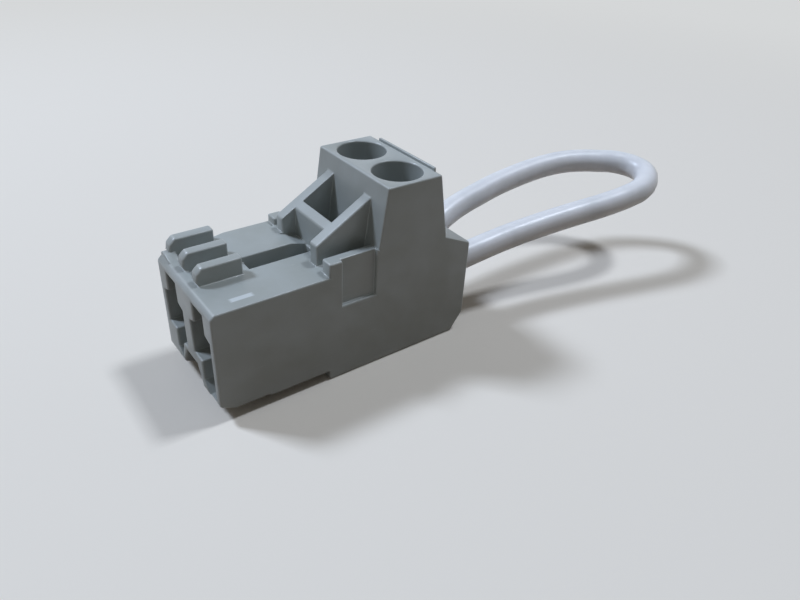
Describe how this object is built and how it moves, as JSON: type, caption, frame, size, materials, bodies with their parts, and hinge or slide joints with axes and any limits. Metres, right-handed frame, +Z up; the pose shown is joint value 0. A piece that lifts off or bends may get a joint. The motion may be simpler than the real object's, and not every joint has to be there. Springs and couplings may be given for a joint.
{
  "type": "pluggable screw terminal plug",
  "caption": "Grey pluggable terminal plug with socket contacts in front, screw cage clamps in a rear tower, and a white solid-wire jumper looped across its wire entries.",
  "frame": {"origin": "centre of the housing's length and width, at the height of the foot that it stands on; the jumper is left out of this measure", "axes": "+X runs from the plug face to the wire face, +Y from the near pole (the side the picture shows) to the far pole, +Z up through the screwdriver holes"},
  "size_m": [0.0519, 0.0122, 0.0163],
  "materials": {
    "housing_plastic": "fine satin moulding, pebble grey with a slight green tint",
    "tinned_bronze": "matt tin plating on stamped bronze strip",
    "nickelled_cage": "dull nickel plating on brass",
    "zinc_screw": "bright zinc plating, lightly turned",
    "bare_copper": "drawn bare copper",
    "white_insulation": "smooth white PVC with a soft sheen"
  },
  "bodies": {
    "plug": {"housing": "housing_plastic", "contact_near": "tinned_bronze", "contact_far": "tinned_bronze", "bare_end_near": "bare_copper", "bare_end_far": "bare_copper", "jumper_wire": "white_insulation"},
    "screw_near": {"clamp_screw_near": "zinc_screw"},
    "cage_near": {"clamp_cage_near": "nickelled_cage"},
    "screw_far": {"clamp_screw_far": "zinc_screw"},
    "cage_far": {"clamp_cage_far": "nickelled_cage"}
  },
  "joints": [
    {"name": "screw_near_turn", "type": "hinge", "parent": "plug", "child": "screw_near", "pos_m": [0.00555, -0.00254, 0.0116], "axis": [0, 0, 1], "range_deg": [0, 1440]},
    {"name": "cage_near_lift", "type": "slide", "parent": "plug", "child": "cage_near", "axis": [0, 0, 1], "range_m": [-0.0018, 0]},
    {"name": "screw_far_turn", "type": "hinge", "parent": "plug", "child": "screw_far", "pos_m": [0.00555, 0.00254, 0.0116], "axis": [0, 0, 1], "range_deg": [0, 1440]},
    {"name": "cage_far_lift", "type": "slide", "parent": "plug", "child": "cage_far", "axis": [0, 0, 1], "range_m": [-0.0018, 0]}
  ],
  "couplings": [
    {"joint": "screw_near_turn", "follows": "cage_near_lift", "rad_per_m": -13963},
    {"joint": "screw_far_turn", "follows": "cage_far_lift", "rad_per_m": -13963}
  ]
}
